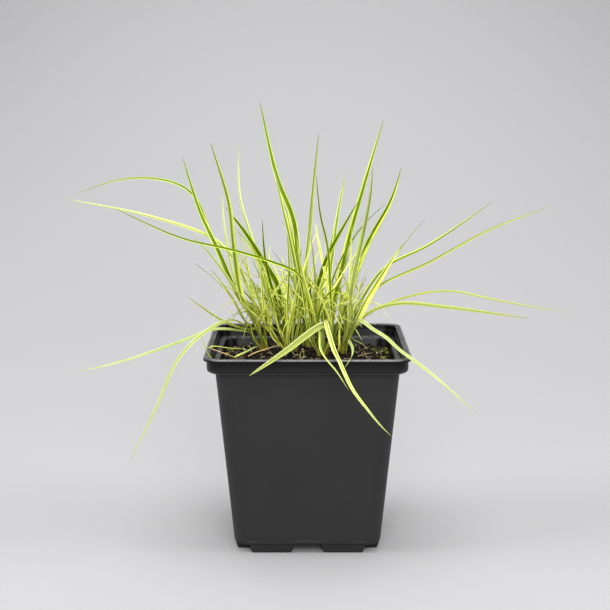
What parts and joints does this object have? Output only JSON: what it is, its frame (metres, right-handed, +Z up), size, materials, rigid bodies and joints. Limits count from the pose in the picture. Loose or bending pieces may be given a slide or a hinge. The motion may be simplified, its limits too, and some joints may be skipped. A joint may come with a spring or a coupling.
{
  "type": "potted variegated purple moor grass",
  "caption": "Clump of narrow yellow-green grass leaves with cream edges, some upright and some arching over the rim, in a square tapered black plastic nursery pot of soil.",
  "frame": {"origin": "middle of the pot's underside, on the surface that it stands on", "axes": "+Z up; +X along the front of the pot to the viewer's right, where the leaves reach furthest; -Y towards the viewer"},
  "size_m": [0.336, 0.21, 0.286],
  "materials": {
    "pot": "satin",
    "soil": "matte",
    "leaf": "satin"
  },
  "bodies": {
    "root": {"pot": "pot", "soil": "soil", "tiller_01": "leaf", "tiller_02": "leaf", "tiller_03": "leaf", "tiller_04": "leaf", "tiller_05": "leaf", "tiller_06": "leaf", "tiller_07": "leaf", "tiller_08": "leaf", "tiller_09": "leaf", "tiller_10": "leaf", "tiller_11": "leaf", "tiller_12": "leaf", "tiller_13": "leaf", "tiller_14": "leaf", "tiller_15": "leaf", "tiller_16": "leaf", "tiller_17": "leaf", "tiller_18": "leaf", "tiller_19": "leaf", "tiller_20": "leaf", "tiller_21": "leaf", "tiller_22": "leaf", "tiller_23": "leaf", "tiller_24": "leaf", "tiller_25": "leaf", "tiller_26": "leaf", "tiller_27": "leaf", "tiller_28": "leaf", "tiller_29": "leaf", "tiller_30": "leaf", "tiller_31": "leaf", "tiller_32": "leaf", "tiller_33": "leaf", "tiller_34": "leaf", "tiller_35": "leaf", "tiller_36": "leaf", "tiller_37": "leaf", "tiller_38": "leaf", "tiller_39": "leaf", "tiller_40": "leaf"}
  },
  "joints": []
}
